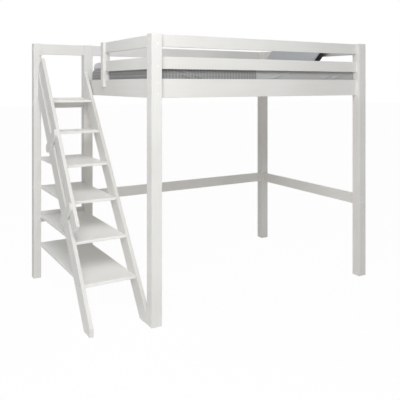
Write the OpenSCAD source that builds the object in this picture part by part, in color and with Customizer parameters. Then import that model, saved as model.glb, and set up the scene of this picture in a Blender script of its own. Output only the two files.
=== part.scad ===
// Loft bed with a shelf stair and handrail at its left end.
// Bed coordinates, in millimetres: X runs right from the left bed posts' outer faces,
// Y runs back from the front bed posts' outer faces, Z is the height above the floor.

/* [Bed frame] */
// length over the bed posts
bed_length = 2150; // [2150:10:2400]
// depth over the bed posts
bed_depth = 1522; // [1480:2:1640]
// height of every post
post_height = 2095; // [2095:5:2300]
// side of a square bed post
post_side = 82; // [78:1:95]
// easing radius on the edges of posts and rails
edge_ease = 3; // [2:0.5:4]
// thickness of every rail board
rail_thick = 24; // [22:1:26]
// distance from a post's outer face to the rail's outer face
rail_setback = 38; // [34:1:40]
// height of the deep side and end rails
deep_rail_high = 139; // [130:1:140]
// distance from the post tops down to the deep rails' tops
deep_rail_drop = 324; // [320:1:330]
// height of the single top rails and of the stretchers
plain_rail_high = 93; // [88:1:96]
// bottom of the stretchers above the floor
stretcher_bottom = 640; // [600:5:680]

/* [Guard rails] */
// height of a guard rail
guard_high = 90; // [84:1:92]
// gap between the deep rails and the lower guard rails
guard_low_gap = 71; // [67:1:75]
// distance from the post tops down to the upper rails' tops
top_drop = 2; // [1:0.5:4]
// front of the entry upright
upright_front = 995; // [960:5:1010]
// width of the entry upright along Y
upright_wide = 56; // [50:1:60]
// thickness of the entry upright along X
upright_thick = 63; // [60:1:66]
// length of the upright's tongue over the end rail
tongue_drop = 64; // [50:1:80]

/* [Stair] */
// clear width between the stringers
stair_clear = 399; // [380:1:440]
// side of the square stair post
stair_post_side = 66; // [60:1:72]
// distance the stair post's back stands in front of the bed's back
stair_post_inset = 16; // [12:1:20]
// thickness of a stringer and of the handrail
stringer_thick = 28; // [26:1:30]
// where the stringers' front line meets the floor
stringer_line = 38; // [34:1:42]
// horizontal depth of a stringer
stringer_deep = 167; // [160:1:170]
// distance from the post tops down to where the stringers' front line meets the stair post
stringer_top_drop = 250.3; // [245:0.1:256]
// top of the lowest tread
first_tread = 297; // [290:1:300]
// distance from the post tops down to the top tread's top
top_tread_drop = 504; // [500:1:508]
// thickness of a tread
tread_thick = 22; // [20:1:24]
// distance of a tread's front behind the stringers' front line
tread_set = 24; // [20:1:28]
// depth of the second tread, which ends in the open
short_tread_deep = 205; // [195:1:210]
// how far the stair rail behind the top tread reaches below that tread's top
stair_rail_high_drop = 76; // [72:1:79]
// how far the stair rail behind the fifth tread from the top reaches below its top
stair_rail_low_drop = 62.8; // [58:0.2:66]

/* [Handrail] */
// width of the handrail across the slope
handrail_wide = 100; // [90:1:105]
// gap between handrail and stringer, square to the slope
handrail_gap = 59; // [55:1:65]
// distance along the slope from the floor corner to the handrail's lower end
handrail_start = 776; // [760:2:800]
// rounding radius of the handrail's lower corners
handrail_round = 14; // [8:1:20]
// thickness of a bracket arm
bracket_thick = 20; // [18:1:22]
// width of a bracket arm
bracket_wide = 70; // [60:1:74]
// length of a bracket arm
bracket_long = 300; // [296:1:304]
// distances along the slope of the two bracket arms' middles
bracket_low_at = 947; // [930:1:960]
bracket_high_at = 1603; // [1590:1:1610]

/* [Slatted base] */
// width of the ledges the slats lie on
ledge_wide = 30; // [26:1:34]
// height of the ledges
ledge_high = 35; // [32:1:36]
// distance from the deep rails' tops down to the slats' seat on ledges and beam
slat_seat_drop = 96; // [91:1:99]
// width of the centre beam
beam_wide = 60; // [50:1:70]
// height of the centre beam
beam_high = 38; // [36:1:39]
// plate thickness of a beam shoe
shoe_plate = 2.5; // [2:0.5:3]
// length of a beam shoe
shoe_long = 45; // [40:1:60]
// width of a slat
slat_wide = 80; // [70:1:90]
// thickness of a slat
slat_thick = 20; // [18:1:20]
// number of slats
slat_count = 15; // [13:1:15]
// width of the two tapes under the slats
tape_wide = 25; // [20:1:30]
// thickness of the tapes
tape_thick = 1; // [0.8:0.1:1]

/* [Bedding] */
// clearance between mattress and side rail
mattress_side_gap = 5; // [5:0.5:10]
// clearance between mattress and left end rail, which leaves room for the upright
mattress_end_gap = 20; // [20:0.5:22]
// clearance between mattress and right end rail
mattress_right_gap = 6; // [4:0.5:16]
// thickness of the mattress
mattress_thick = 176; // [160:1:180]
// thickness of the blanket
blanket_thick = 4; // [3:0.5:4]
// right edge of the blanket
blanket_end = 964; // [700:2:1000]
// height of the blanket's tucked-in hem above the mattress's underside
blanket_hem_rise = 27; // [20:1:45]
// left edge of the duvet
duvet_left = 84; // [84:1:100]
// distance of the duvet's right edge from the bed's right end
duvet_right_space = 530; // [510:5:750]
// distance of the duvet's sides from the bed's front and back
duvet_inset = 76; // [75:1:100]
// thickness of the duvet
duvet_thick = 51; // [45:1:60]
// length of a pillow
pillow_long = 800; // [700:5:820]
// height of a pillow that stands on its long edge
pillow_wide = 300; // [280:1:310]
// thickness of a pillow
pillow_thick = 100; // [90:1:104]
// lean of the pillows back from lying flat, in degrees
pillow_tilt = 49; // [47:0.5:51]
// middle of the front pillow along Y
pillow_front_mid = 700; // [650:5:760]
// middle of the back pillow along Y
pillow_back_mid = 772; // [740:1:860]

/* [Fasteners] */
// shank diameter of the post bolts
bolt_size = 6; // [5:0.5:6]
// diameter of the hole a bolt's shank passes
bolt_hole = 7; // [6.5:0.5:8]
// head diameter of the post bolts
bolt_head = 12; // [10:0.5:13]
// head height of the post bolts
bolt_head_high = 6; // [5:0.5:6]
// depth of the counterbore a bolt head sits in
head_depth = 12; // [11:0.5:14]
// diameter of the counterbore
head_hole = 14.4; // [13.5:0.1:15]
// diameter of a cross nut
nut_size = 10; // [9:0.5:10]
// length of a cross nut
nut_long = 16; // [14:1:16]
// distance of the cross nut from the end of its rail
nut_inset = 38; // [34:1:40]
// diameter of a cover cap
cap_size = 19; // [17:0.5:20]
// thickness of a cover cap's lid
cap_thick = 1.8; // [1.5:0.1:2.5]
// diameter of a dowel
dowel_size = 10; // [8:0.5:10]
// half length of a dowel
dowel_half = 18; // [15:1:18]
// shank diameter of the wood screws
screw_size = 4.5; // [4:0.5:5]
// head diameter of the wood screws
screw_head = 9; // [8:0.5:9.5]

/* [Hidden] */
$fn = 48;
cut = 1;
small_gap = 0.1;

// planes of the frame
rail_mid = rail_setback + rail_thick / 2;
rail_inner = rail_setback + rail_thick;
back_mid = bed_depth - rail_mid;
right_mid = bed_length - rail_mid;
back_inner = bed_depth - rail_inner;
right_inner = bed_length - rail_inner;
post_back = bed_depth - post_side;
post_right = bed_length - post_side;

// heights of the frame
rails_top = post_height - top_drop;
deep_rail_top = post_height - deep_rail_drop;
guard_low_bottom = deep_rail_top + guard_low_gap;
guard_up_bottom = rails_top - guard_high;
plain_top_bottom = rails_top - plain_rail_high;
deep_bottom = deep_rail_top - deep_rail_high;
slat_seat = deep_rail_top - slat_seat_drop;
guard_low_mid = guard_low_bottom + guard_high / 2;
guard_up_mid = guard_up_bottom + guard_high / 2;
plain_top_mid = plain_top_bottom + plain_rail_high / 2;
stretcher_mid = stretcher_bottom + plain_rail_high / 2;

// planes of the stair
stair_left = -stair_clear;
stair_post_x = stair_left - stair_post_side;
stair_post_y = bed_depth - stair_post_inset - stair_post_side;
stair_post_back = bed_depth - stair_post_inset;
stringer_left_x = stair_left - stringer_thick;
stringer_mid = stringer_thick / 2;
tread_mid = tread_thick / 2;
top_tread = post_height - top_tread_drop;

// the slope: its run for each unit of rise, unit length along it, and the sine and
// cosine of its lean
stair_run = (stair_post_y - stringer_line) / (post_height - stringer_top_drop);
slope_unit = sqrt(1 + stair_run * stair_run);
slope_y = stair_run / slope_unit;
slope_z = 1 / slope_unit;
slope_lean = atan(stair_run);
stringer_wide = stringer_deep * slope_z;
stringer_front_v = stringer_line * slope_z;
handrail_back_v = stringer_front_v - handrail_gap;
handrail_front_v = handrail_back_v - handrail_wide;
handrail_mid_v = handrail_back_v - handrail_wide / 2;
stringer_mid_v = stringer_front_v + stringer_wide / 2;
slope_long = post_height / slope_z + post_height;

// treads, counted from the bottom
TREADS = [0, 1, 2, 3, 4, 5];
SHELF_TREADS = [0, 2, 3];
SHORT_TREAD = 4;
TOP_TREAD = 5;
LOW_RAIL_TREAD = 1;
tread_rise = (top_tread - first_tread) / TOP_TREAD;
stair_rail_high_bottom = tread_top(TOP_TREAD) - stair_rail_high_drop;
stair_rail_low_bottom = tread_top(LOW_RAIL_TREAD) - stair_rail_low_drop;

// bolt heights: bolts along X and along Y pass one another inside each post
deep_x_step = 50;
deep_y_step = 30;
plain_x_step = 11;
plain_y_step = 22;
guard_bolt_step = 20;
guard_dowel_step = 26;
stringer_bolt_heights = post_height * [1, 1] - [440, 335];
handrail_bolt = post_height - 110;
deep_x_heights = [deep_bottom + deep_x_step, deep_rail_top - deep_x_step];
deep_y_heights = [deep_bottom + deep_y_step, deep_rail_top - deep_y_step];
top_x_heights = [plain_top_mid - plain_x_step, plain_top_mid + plain_x_step];
top_y_heights = [plain_top_mid - plain_y_step, plain_top_mid + plain_y_step];
stretcher_x_heights = [stretcher_mid - plain_x_step, stretcher_mid + plain_x_step];
stretcher_y_heights = [stretcher_mid - plain_y_step, stretcher_mid + plain_y_step];
guard_x_heights = [guard_low_mid, guard_up_mid];
guard_y_heights = [guard_low_bottom + guard_bolt_step, guard_up_bottom + guard_bolt_step];
stair_high_heights = pair(stair_rail_high_bottom + plain_rail_high / 2, plain_x_step);
stair_low_heights = pair(stair_rail_low_bottom + plain_rail_high / 2, plain_x_step);

function pair(middle, step) = [middle - step, middle + step];
function tread_top(n) = first_tread + n * tread_rise;
function front_line(z) = stringer_line + stair_run * z;
function tread_front(n) = front_line(tread_top(n) - tread_thick) + tread_set;

// A bolt is [x, y, z, turn, side, through]: the middle of its head's hole on the post's
// outer face, its direction turned about Z, the side its cross nut opens to (1 left of
// the bolt, -1 right, 0 below) and the thickness of the post it passes.
function bolts(x, y, heights, turn, side, through) =
    [for (z = heights) [x, y, z, turn, side, through]];

side_front_bolts = concat(
    bolts(0, rail_mid, deep_x_heights, 0, 1, post_side),
    bolts(bed_length, rail_mid, deep_x_heights, 180, -1, post_side));
side_back_bolts = concat(
    bolts(0, back_mid, deep_x_heights, 0, -1, post_side),
    bolts(bed_length, back_mid, deep_x_heights, 180, 1, post_side));
end_left_bolts = concat(
    bolts(rail_mid, 0, deep_y_heights, 90, -1, post_side),
    bolts(rail_mid, bed_depth, deep_y_heights, 270, 1, post_side));
end_right_bolts = concat(
    bolts(right_mid, 0, deep_y_heights, 90, 1, post_side),
    bolts(right_mid, bed_depth, deep_y_heights, 270, -1, post_side));
guard_front_bolts = concat(
    bolts(0, rail_mid, guard_x_heights, 0, 1, post_side),
    bolts(bed_length, rail_mid, guard_x_heights, 180, -1, post_side));
guard_end_bolts = bolts(rail_mid, 0, guard_y_heights, 90, -1, post_side);
top_back_bolts = bolts(bed_length, back_mid, top_x_heights, 180, 1, post_side);
top_right_bolts = concat(
    bolts(right_mid, 0, top_y_heights, 90, 1, post_side),
    bolts(right_mid, bed_depth, top_y_heights, 270, -1, post_side));
stretcher_back_bolts = concat(
    bolts(0, back_mid, stretcher_x_heights, 0, -1, post_side),
    bolts(bed_length, back_mid, stretcher_x_heights, 180, 1, post_side));
stretcher_right_bolts = concat(
    bolts(right_mid, 0, stretcher_y_heights, 90, 1, post_side),
    bolts(right_mid, bed_depth, stretcher_y_heights, 270, -1, post_side));
stair_top_bolts = bolts(stair_post_x, back_mid, top_x_heights, 0, 1, stair_post_side);
stair_high_bolts = concat(
    bolts(stair_post_x, back_mid, stair_high_heights, 0, 1, stair_post_side),
    bolts(post_side, back_mid, stair_high_heights, 180, -1, post_side));
stair_low_bolts = concat(
    bolts(stair_post_x, back_mid, stair_low_heights, 0, 1, stair_post_side),
    bolts(post_side, back_mid, stair_low_heights, 180, -1, post_side));
stringer_left_bolts = bolts(stringer_left_x + stringer_mid, stair_post_back,
    stringer_bolt_heights, 270, 1, stair_post_side);
stringer_right_bolts = bolts(stringer_mid, bed_depth,
    stringer_bolt_heights, 270, 1, post_side);
handrail_bolts = bolts(stringer_left_x + stringer_mid, stair_post_back,
    [handrail_bolt], 270, 1, stair_post_side);
function shelf_bolts(n) = concat(
    bolts(stair_post_x, back_mid, [tread_top(n) - tread_mid], 0, 0, stair_post_side),
    bolts(post_side, back_mid, [tread_top(n) - tread_mid], 180, 0, post_side));
all_shelf_bolts = [for (n = SHELF_TREADS) each shelf_bolts(n)];

// every bolt; those through bed posts are longer than those through the stair post
all_bolts = concat(side_front_bolts, side_back_bolts, end_left_bolts, end_right_bolts,
    guard_front_bolts, guard_end_bolts, top_back_bolts, top_right_bolts,
    stretcher_back_bolts, stretcher_right_bolts, stair_top_bolts, stair_high_bolts,
    stair_low_bolts, stringer_left_bolts, stringer_right_bolts, handrail_bolts,
    all_shelf_bolts);

// bolts that meet the stair post
stair_bolts = concat(stair_top_bolts, stair_high_bolts, stair_low_bolts,
    stringer_left_bolts, handrail_bolts, all_shelf_bolts);

// a dowel is [x, y, z, turn]: the middle of the joint it crosses, and its direction
function dowels_at(x, y, heights, turn) = [for (z = heights) [x, y, z, turn]];
guard_front_dowels = concat(
    dowels_at(post_side, rail_mid, guard_x_heights - [1, 1] * guard_dowel_step, 0),
    dowels_at(post_right, rail_mid, guard_x_heights - [1, 1] * guard_dowel_step, 0));
guard_end_dowels = dowels_at(rail_mid, post_side,
    guard_x_heights + [1, 1] * guard_bolt_step, 90);
upright_dowels = dowels_at(rail_mid, upright_front, concat(
    pair(guard_low_mid, guard_bolt_step), pair(guard_up_mid, guard_bolt_step)), 90);
foot_dowel_high = 30;
foot_dowels = dowels_at(stringer_mid, post_side, [foot_dowel_high], 90);
all_dowels = concat(guard_front_dowels, guard_end_dowels, upright_dowels, foot_dowels);

// a screw is [x, y, z, turn]: the middle of its head, and its direction about Z
screw_head_high = 2.6;
tread_screw_long = 60;
bracket_screw_long = 42;
tongue_screw_long = 42;
ledge_screw_long = 48;
shoe_screw_long = 20;
screw_first = 45;
screw_second = 115;
bracket_screw_half = 18;
ledge_screw_count = 6;
ledge_screw_margin = 120;
shoe_screw_half = 12;
ledge_start = post_side + 2;
ledge_end = bed_length - ledge_start;

function tread_screws_at(x, turn) = [for (n = TREADS) for (d = [screw_first, screw_second])
    [x, front_line(tread_top(n) - tread_mid) + d, tread_top(n) - tread_mid, turn]];
left_tread_screws = tread_screws_at(stringer_left_x, 0);
right_tread_screws = tread_screws_at(stringer_thick, 180);
function slope_point(along, across) =
    [along * slope_y + across * slope_z, along * slope_z - across * slope_y];
function bracket_screws_at(along) = [
    for (across = [handrail_mid_v, stringer_mid_v])
    for (d = [-bracket_screw_half, bracket_screw_half])
    let (p = slope_point(along + d, across))
    [stringer_left_x - bracket_thick, p[0], p[1], 0]];
all_bracket_screws = concat(bracket_screws_at(bracket_low_at),
    bracket_screws_at(bracket_high_at));
tongue_screws = [for (y = [upright_front + upright_wide / 4,
    upright_front + upright_wide * 3 / 4])
    [rail_inner, y, deep_rail_top - tongue_drop / 2, 180]];
ledge_screw_step = (ledge_end - ledge_start - 2 * ledge_screw_margin) / (ledge_screw_count - 1);
function ledge_screws_at(y, turn) = [for (i = [0 : ledge_screw_count - 1])
    [ledge_start + ledge_screw_margin + i * ledge_screw_step, y,
        slat_seat - ledge_high / 2, turn]];
ledge_front_screws = ledge_screws_at(rail_inner + ledge_wide, 270);
ledge_back_screws = ledge_screws_at(back_inner - ledge_wide, 90);
shoe_screws_left = [for (d = [-shoe_screw_half, shoe_screw_half])
    [rail_inner + shoe_plate, bed_depth / 2 + d, slat_seat - beam_high / 2, 180]];
shoe_screws_right = [for (d = [-shoe_screw_half, shoe_screw_half])
    [right_inner - shoe_plate, bed_depth / 2 + d, slat_seat - beam_high / 2, 0]];

// bedding
beam_end_gap = 4;
tape_inset = 40;
slat_end_gap = 3;
slat_margin = 100;
slat_step = (bed_length - 2 * slat_margin - slat_wide) / (slat_count - 1);
mattress_bottom = slat_seat + slat_thick;
mattress_top = mattress_bottom + mattress_thick;
mattress_left = rail_inner + mattress_end_gap;
mattress_long = right_inner - mattress_right_gap - mattress_left;
mattress_deep = back_inner - rail_inner - 2 * mattress_side_gap;
// corner radius with which the mattress, longer and wider than the space between the
// posts, clears the right posts' corners
post_gap = 1;
post_lap_x = max(mattress_left + mattress_long - post_right, 0);
post_lap_y = max(post_side - rail_inner - mattress_side_gap, 0);
post_laps = post_lap_x + post_lap_y + post_gap;
mattress_corner = post_laps + sqrt(pow(post_laps, 2) - pow(post_lap_x, 2)
    - pow(post_lap_y, 2) + pow(post_gap, 2));
mattress_edge = 25;
mattress_crown = 5;
mattress_bow = 2;
crown_insets = [150, 320, 560];
crown_drops = [0.55, 0.2, 0];
soft_gap = 0.3;
blanket_top = mattress_top + soft_gap + blanket_thick;
blanket_hem = mattress_bottom + blanket_hem_rise;
duvet_right = bed_length - duvet_right_space;
duvet_corner = 40;
duvet_bow = 5;
pillow_corner = 45;
pillow_bow = 8;
pillow_a = pillow_wide / 2;
pillow_b = pillow_thick / 2;
pillow_low = sqrt(pow(pillow_a * sin(pillow_tilt), 2) + pow(pillow_b * cos(pillow_tilt), 2));
pillow_side = sqrt(pow(pillow_a * cos(pillow_tilt), 2) + pow(pillow_b * sin(pillow_tilt), 2));
pillow_reach = 1 / sqrt(pow(cos(pillow_tilt) / pillow_a, 2)
    + pow(sin(pillow_tilt) / pillow_b, 2));
pillow_height = mattress_top + soft_gap + pillow_low;
pillow_front_drop = 0.3 * mattress_crown;
pillow_back_drop = 0.5 * mattress_crown;
pillow_nest = 1.6;
pillow_back_x = right_inner - 2 * soft_gap - pillow_side;
pillow_front_x = pillow_back_x - 2 * pillow_reach + pillow_nest;

// colours
paint = [0.94, 0.94, 0.92];
pine = [0.87, 0.76, 0.58];
steel = [0.66, 0.67, 0.69];
nut_metal = [0.72, 0.66, 0.48];
tape_grey = [0.82, 0.82, 0.8];
sheet_grey = [0.68, 0.68, 0.69];
check_grey = [0.4, 0.4, 0.41];
duvet_lilac = [0.83, 0.82, 0.86];
pillow_blue = [0.62, 0.66, 0.71];
pillow_dark = [0.12, 0.12, 0.13];

// general shapes
module placed() {
    translate([-(bed_length - stair_clear - stair_post_side) / 2, -bed_depth / 2, 0])
        children();
}

module round_rect(wide, high, r) {
    translate([r, 0])
        square([wide - 2 * r, high]);
    translate([0, r])
        square([wide, high - 2 * r]);
    for (x = [r, wide - r])
        for (y = [r, high - r])
            translate([x, y])
                circle(r);
}

// a bar whose four long edges are eased, lying along X, Y or Z
module bar_x(at, size, r) {
    translate(at)
        rotate([90, 0, 90])
            linear_extrude(size[0])
                round_rect(size[1], size[2], r);
}

module bar_y(at, size, r) {
    translate(at + [0, size[1], 0])
        rotate([90, 0, 0])
            linear_extrude(size[1])
                round_rect(size[0], size[2], r);
}

module bar_z(at, size, r) {
    translate(at)
        linear_extrude(size[2])
            round_rect(size[0], size[1], r);
}

// a block with all twelve edges eased
module eased_block(at, size, r) {
    intersection() {
        bar_x(at, size, r);
        bar_y(at, size, r);
        bar_z(at, size, r);
    }
}

// puts children in a frame whose X runs along the fastener
module along(p) {
    translate([p[0], p[1], p[2]])
        rotate([0, 0, p[3]])
            children();
}

// turns children so that their Z points to the side a cross nut opens to
module to_side(side) {
    rotate([side == 0 ? 180 : -90 * side, 0, 0])
        children();
}

module rod(start, finish, size) {
    translate([start, 0, 0])
        rotate([0, 90, 0])
            cylinder(h = finish - start, d = size);
}

// holes
module nut_hole(at, side) {
    nut_far = nut_long / 2 + small_gap;
    translate([at, 0, 0])
        to_side(side)
            translate([0, 0, -nut_far])
                cylinder(h = nut_far + nut_long, d = nut_size + 2 * small_gap);
}

module bolt_holes(list) {
    for (b = list)
        along(b) {
            rod(-cut, head_depth, head_hole);
            rod(head_depth - cut, b[5] + nut_inset + nut_size, bolt_hole);
            nut_hole(b[5] + nut_inset, b[4]);
        }
}

module stud_holes() {
    for (z = top_x_heights)
        translate([0, back_mid, z]) {
            rod(-nut_inset - nut_size, post_side + nut_inset + nut_size, bolt_hole);
            nut_hole(-nut_inset, 1);
            nut_hole(post_side + nut_inset, 1);
        }
}

module dowel_holes(list) {
    reach = dowel_half + cut;
    for (d = list)
        along(d)
            rod(-reach, reach, dowel_size + small_gap);
}

module screw_holes(list, long) {
    for (s = list)
        along(s) {
            rod(-cut, long + cut, screw_size + small_gap);
            rotate([0, 90, 0])
                cylinder(h = screw_head_high, d1 = screw_head + small_gap,
                    d2 = screw_size + small_gap);
        }
}

// fasteners
socket_size = 5;
socket_deep = 3;
cap_stem = head_hole - 2 * small_gap;
cap_stem_deep = head_depth - bolt_head_high - 1;
nut_bore = bolt_size + 2 * small_gap;
bolt_past_nut = 8;

module one_bolt(b) {
    along(b)
        difference() {
            union() {
                rod(head_depth - bolt_head_high, head_depth, bolt_head);
                rod(head_depth - cut, b[5] + nut_inset + bolt_past_nut, bolt_size);
            }
            translate([head_depth - bolt_head_high - cut, 0, 0])
                rotate([0, 90, 0])
                    linear_extrude(socket_deep + cut)
                        circle(d = socket_size, $fn = 6);
        }
}

module one_nut(at, side) {
    translate([at, 0, 0])
        difference() {
            to_side(side)
                translate([0, 0, -nut_long / 2])
                    cylinder(h = nut_long, d = nut_size);
            rod(-nut_size, nut_size, nut_bore);
        }
}

module one_cap(p) {
    along(p) {
        rod(-cap_thick, 0, cap_size);
        rod(-cap_thick / 2, cap_stem_deep, cap_stem);
    }
}

module screws(list, long) {
    for (s = list)
        along(s)
            difference() {
                rotate([0, 90, 0])
                    union() {
                        cylinder(h = screw_head_high, d1 = screw_head, d2 = screw_size);
                        cylinder(h = long - screw_size, d = screw_size);
                        translate([0, 0, long - screw_size])
                            cylinder(h = screw_size, d1 = screw_size, d2 = cut);
                    }
                translate([-cut, 0, 0])
                    rotate([0, 90, 0])
                        linear_extrude(cut + screw_head_high / 2)
                            circle(d = screw_size, $fn = 6);
            }
}

module post_bolts() {
    color(steel)
        for (b = all_bolts)
            if (b[5] == post_side)
                one_bolt(b);
}

module stair_bolts_short() {
    color(steel)
        for (b = all_bolts)
            if (b[5] == stair_post_side)
                one_bolt(b);
}

module through_studs() {
    reach = nut_inset + bolt_past_nut;
    color(steel)
        for (z = top_x_heights)
            translate([0, back_mid, z])
                rod(-reach, post_side + reach, bolt_size);
}

module cross_nuts() {
    color(nut_metal) {
        for (b = all_bolts)
            along(b)
                one_nut(b[5] + nut_inset, b[4]);
        for (z = top_x_heights)
            translate([0, back_mid, z]) {
                one_nut(-nut_inset, 1);
                one_nut(post_side + nut_inset, 1);
            }
    }
}

module cover_caps() {
    color(paint)
        for (b = all_bolts)
            one_cap(b);
}

module dowels() {
    color(pine)
        for (d = all_dowels)
            along(d)
                rod(-dowel_half, dowel_half, dowel_size);
}

module tread_screws() {
    color(steel)
        screws(concat(left_tread_screws, right_tread_screws), tread_screw_long);
}

module bracket_screws() {
    color(steel)
        screws(all_bracket_screws, bracket_screw_long);
}

module tongue_screws() {
    color(steel)
        screws(tongue_screws, tongue_screw_long);
}

module ledge_screws() {
    color(steel)
        screws(concat(ledge_front_screws, ledge_back_screws), ledge_screw_long);
}

module shoe_screws() {
    color(steel)
        screws(concat(shoe_screws_left, shoe_screws_right), shoe_screw_long);
}

// posts
module post(x, y, side, list) {
    color(paint)
        difference() {
            eased_block([x, y, 0], [side, side, post_height], edge_ease);
            bolt_holes(list);
            children();
        }
}

module post_front_left() {
    post(0, 0, post_side,
        concat(side_front_bolts, guard_front_bolts, end_left_bolts, guard_end_bolts))
        dowel_holes(concat(guard_front_dowels, guard_end_dowels, foot_dowels));
}

module post_front_right() {
    post(post_right, 0, post_side,
        concat(side_front_bolts, guard_front_bolts, end_right_bolts, top_right_bolts,
            stretcher_right_bolts))
        dowel_holes(guard_front_dowels);
}

module post_back_left() {
    post(0, post_back, post_side,
        concat(side_back_bolts, end_left_bolts, stretcher_back_bolts, stair_high_bolts,
            stair_low_bolts, stringer_right_bolts, all_shelf_bolts))
        stud_holes();
}

module post_back_right() {
    post(post_right, post_back, post_side,
        concat(side_back_bolts, end_right_bolts, top_back_bolts, top_right_bolts,
            stretcher_back_bolts, stretcher_right_bolts));
}

module post_stair() {
    post(stair_post_x, stair_post_y, stair_post_side, stair_bolts);
}

// rails
module rail_x(x, y_mid, z, long, high, list) {
    color(paint)
        difference() {
            bar_x([x, y_mid - rail_thick / 2, z], [long, rail_thick, high], edge_ease);
            bolt_holes(list);
            children();
        }
}

module rail_y(x_mid, y, z, long, high, list) {
    color(paint)
        difference() {
            bar_y([x_mid - rail_thick / 2, y, z], [rail_thick, long, high], edge_ease);
            bolt_holes(list);
            children();
        }
}

bay_long = post_right - post_side;
bay_deep = post_back - post_side;
guard_end_long = upright_front - post_side;

module side_rail_front() {
    rail_x(post_side, rail_mid, deep_bottom, bay_long, deep_rail_high, side_front_bolts)
        screw_holes(ledge_front_screws, ledge_screw_long);
}

module side_rail_back() {
    rail_x(post_side, back_mid, deep_bottom, bay_long, deep_rail_high, side_back_bolts)
        screw_holes(ledge_back_screws, ledge_screw_long);
}

module end_rail_left() {
    rail_y(rail_mid, post_side, deep_bottom, bay_deep, deep_rail_high, end_left_bolts) {
        screw_holes(tongue_screws, tongue_screw_long);
        screw_holes(shoe_screws_left, shoe_screw_long);
    }
}

module end_rail_right() {
    rail_y(right_mid, post_side, deep_bottom, bay_deep, deep_rail_high, end_right_bolts)
        screw_holes(shoe_screws_right, shoe_screw_long);
}

module guard_front(z) {
    rail_x(post_side, rail_mid, z, bay_long, guard_high, guard_front_bolts)
        dowel_holes(guard_front_dowels);
}

module guard_front_lower() {
    guard_front(guard_low_bottom);
}

module guard_front_upper() {
    guard_front(guard_up_bottom);
}

module guard_end(z) {
    rail_y(rail_mid, post_side, z, guard_end_long, guard_high, guard_end_bolts)
        dowel_holes(concat(guard_end_dowels, upright_dowels));
}

module guard_end_lower() {
    guard_end(guard_low_bottom);
}

module guard_end_upper() {
    guard_end(guard_up_bottom);
}

module entry_upright() {
    upright_x = rail_setback - rail_thick;
    tongue_z = deep_rail_top - tongue_drop;
    color(paint)
        difference() {
            eased_block([upright_x, upright_front, tongue_z],
                [upright_thick, upright_wide, post_height - tongue_z], edge_ease);
            translate([rail_setback, upright_front - cut, tongue_z - cut])
                cube([upright_thick, upright_wide + 2 * cut, tongue_drop + cut]);
            dowel_holes(upright_dowels);
            screw_holes(tongue_screws, tongue_screw_long);
        }
}

module top_rail_back() {
    rail_x(post_side, back_mid, plain_top_bottom, bay_long, plain_rail_high, top_back_bolts)
        stud_holes();
}

module top_rail_right() {
    rail_y(right_mid, post_side, plain_top_bottom, bay_deep, plain_rail_high,
        top_right_bolts);
}

module top_rail_stair() {
    rail_x(stair_left, back_mid, plain_top_bottom, stair_clear, plain_rail_high,
        stair_top_bolts)
        stud_holes();
}

module stretcher_back() {
    rail_x(post_side, back_mid, stretcher_bottom, bay_long, plain_rail_high,
        stretcher_back_bolts);
}

module stretcher_right() {
    rail_y(right_mid, post_side, stretcher_bottom, bay_deep, plain_rail_high,
        stretcher_right_bolts);
}

module stair_rail_high() {
    rail_x(stair_left, back_mid, stair_rail_high_bottom, stair_clear, plain_rail_high,
        stair_high_bolts);
}

module stair_rail_low() {
    rail_x(stair_left, back_mid, stair_rail_low_bottom, stair_clear, plain_rail_high,
        stair_low_bolts);
}

// stair
// turns children from the slope's frame: their X runs up the slope, their Y across it
// towards the back, their Z along the bed's X
module on_slope(x) {
    translate([x, 0, 0])
        rotate([0, 90, 0])
            rotate([0, 0, 180 - slope_lean])
                mirror([0, 1, 0])
                    children();
}

module slope_board(x, across, wide, thick) {
    on_slope(x)
        translate([-slope_long / 2, across, 0])
            rotate([90, 0, 90])
                linear_extrude(slope_long)
                    round_rect(wide, thick, edge_ease);
}

module stringer(x, top_y) {
    intersection() {
        slope_board(x, stringer_front_v, stringer_wide, stringer_thick);
        translate([x - cut, post_side, 0])
            cube([stringer_thick + 2 * cut, top_y - post_side, post_height]);
    }
}

module stringer_left() {
    color(paint)
        difference() {
            stringer(stringer_left_x, stair_post_y);
            bolt_holes(stringer_left_bolts);
            screw_holes(left_tread_screws, tread_screw_long);
            screw_holes(all_bracket_screws, bracket_screw_long);
        }
}

module stringer_right() {
    color(paint)
        difference() {
            stringer(0, post_back);
            bolt_holes(stringer_right_bolts);
            screw_holes(right_tread_screws, tread_screw_long);
            dowel_holes(foot_dowels);
        }
}

// n counts the treads from the bottom, from 0
module tread(n) {
    front = tread_front(n);
    is_shelf = len(search(n, SHELF_TREADS)) > 0;
    full_back = is_shelf ? stair_post_back : back_inner;
    back = n == SHORT_TREAD ? front + short_tread_deep : full_back;
    color(paint)
        difference() {
            eased_block([stair_left, front, tread_top(n) - tread_thick],
                [stair_clear, back - front, tread_thick], edge_ease);
            screw_holes(left_tread_screws, tread_screw_long);
            screw_holes(right_tread_screws, tread_screw_long);
            if (is_shelf)
                bolt_holes(shelf_bolts(n));
        }
}

module tread_1() {
    tread(TOP_TREAD);
}

module tread_2() {
    tread(SHORT_TREAD);
}

module tread_3() {
    tread(3);
}

module tread_4() {
    tread(2);
}

module tread_5() {
    tread(LOW_RAIL_TREAD);
}

module tread_6() {
    tread(0);
}

module handrail() {
    top_cut = rails_top;
    color(paint)
        difference() {
            intersection() {
                slope_board(stringer_left_x, handrail_front_v, handrail_wide,
                    stringer_thick);
                on_slope(stringer_left_x - cut)
                    translate([handrail_start, handrail_front_v, 0])
                        linear_extrude(stringer_thick + 2 * cut)
                            round_rect(slope_long, handrail_wide, handrail_round);
                translate([stringer_left_x - cut, 0, 0])
                    cube([stringer_thick + 2 * cut, stair_post_y, top_cut]);
            }
            bolt_holes(handrail_bolts);
            screw_holes(all_bracket_screws, bracket_screw_long);
        }
}

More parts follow.
